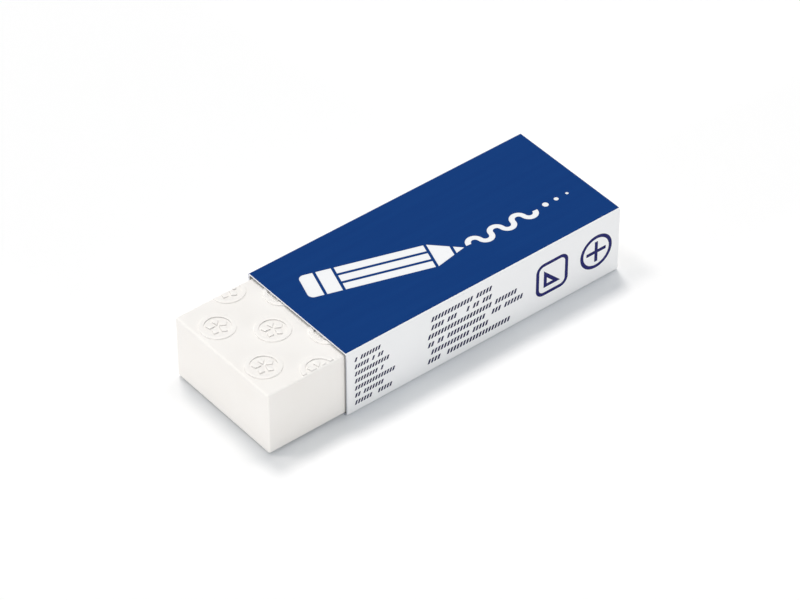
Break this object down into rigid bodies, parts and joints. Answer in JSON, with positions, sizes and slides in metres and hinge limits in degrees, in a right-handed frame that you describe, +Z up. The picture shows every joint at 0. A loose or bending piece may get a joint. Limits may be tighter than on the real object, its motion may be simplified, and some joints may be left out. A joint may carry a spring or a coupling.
{
  "type": "plastic eraser",
  "caption": "Rectangular white vinyl eraser in an open-ended folded card sleeve that slides along it, with a low relief on its top face.",
  "frame": {"origin": "middle of the underside of the whole eraser, block and sleeve together", "axes": "+X along the block, away from its bare end; +Z up, square to the wide faces; the printed side panel faces -Y"},
  "size_m": [0.0654, 0.023, 0.012],
  "materials": {
    "vinyl": "soft matte white vinyl",
    "card": "smooth coated white card",
    "blue_ink": "deep blue print, half gloss",
    "dark_ink": "dark navy print"
  },
  "bodies": {
    "block": {"eraser_block": "vinyl"},
    "sleeve": {"card_sleeve": "card", "top_print": "blue_ink", "underside_print": "blue_ink", "side_print": "dark_ink"}
  },
  "joints": [
    {"name": "sleeve_slide", "type": "slide", "parent": "block", "child": "sleeve", "axis": [1, 0, 0], "range_m": [-0.0653, 0.0513]}
  ]
}
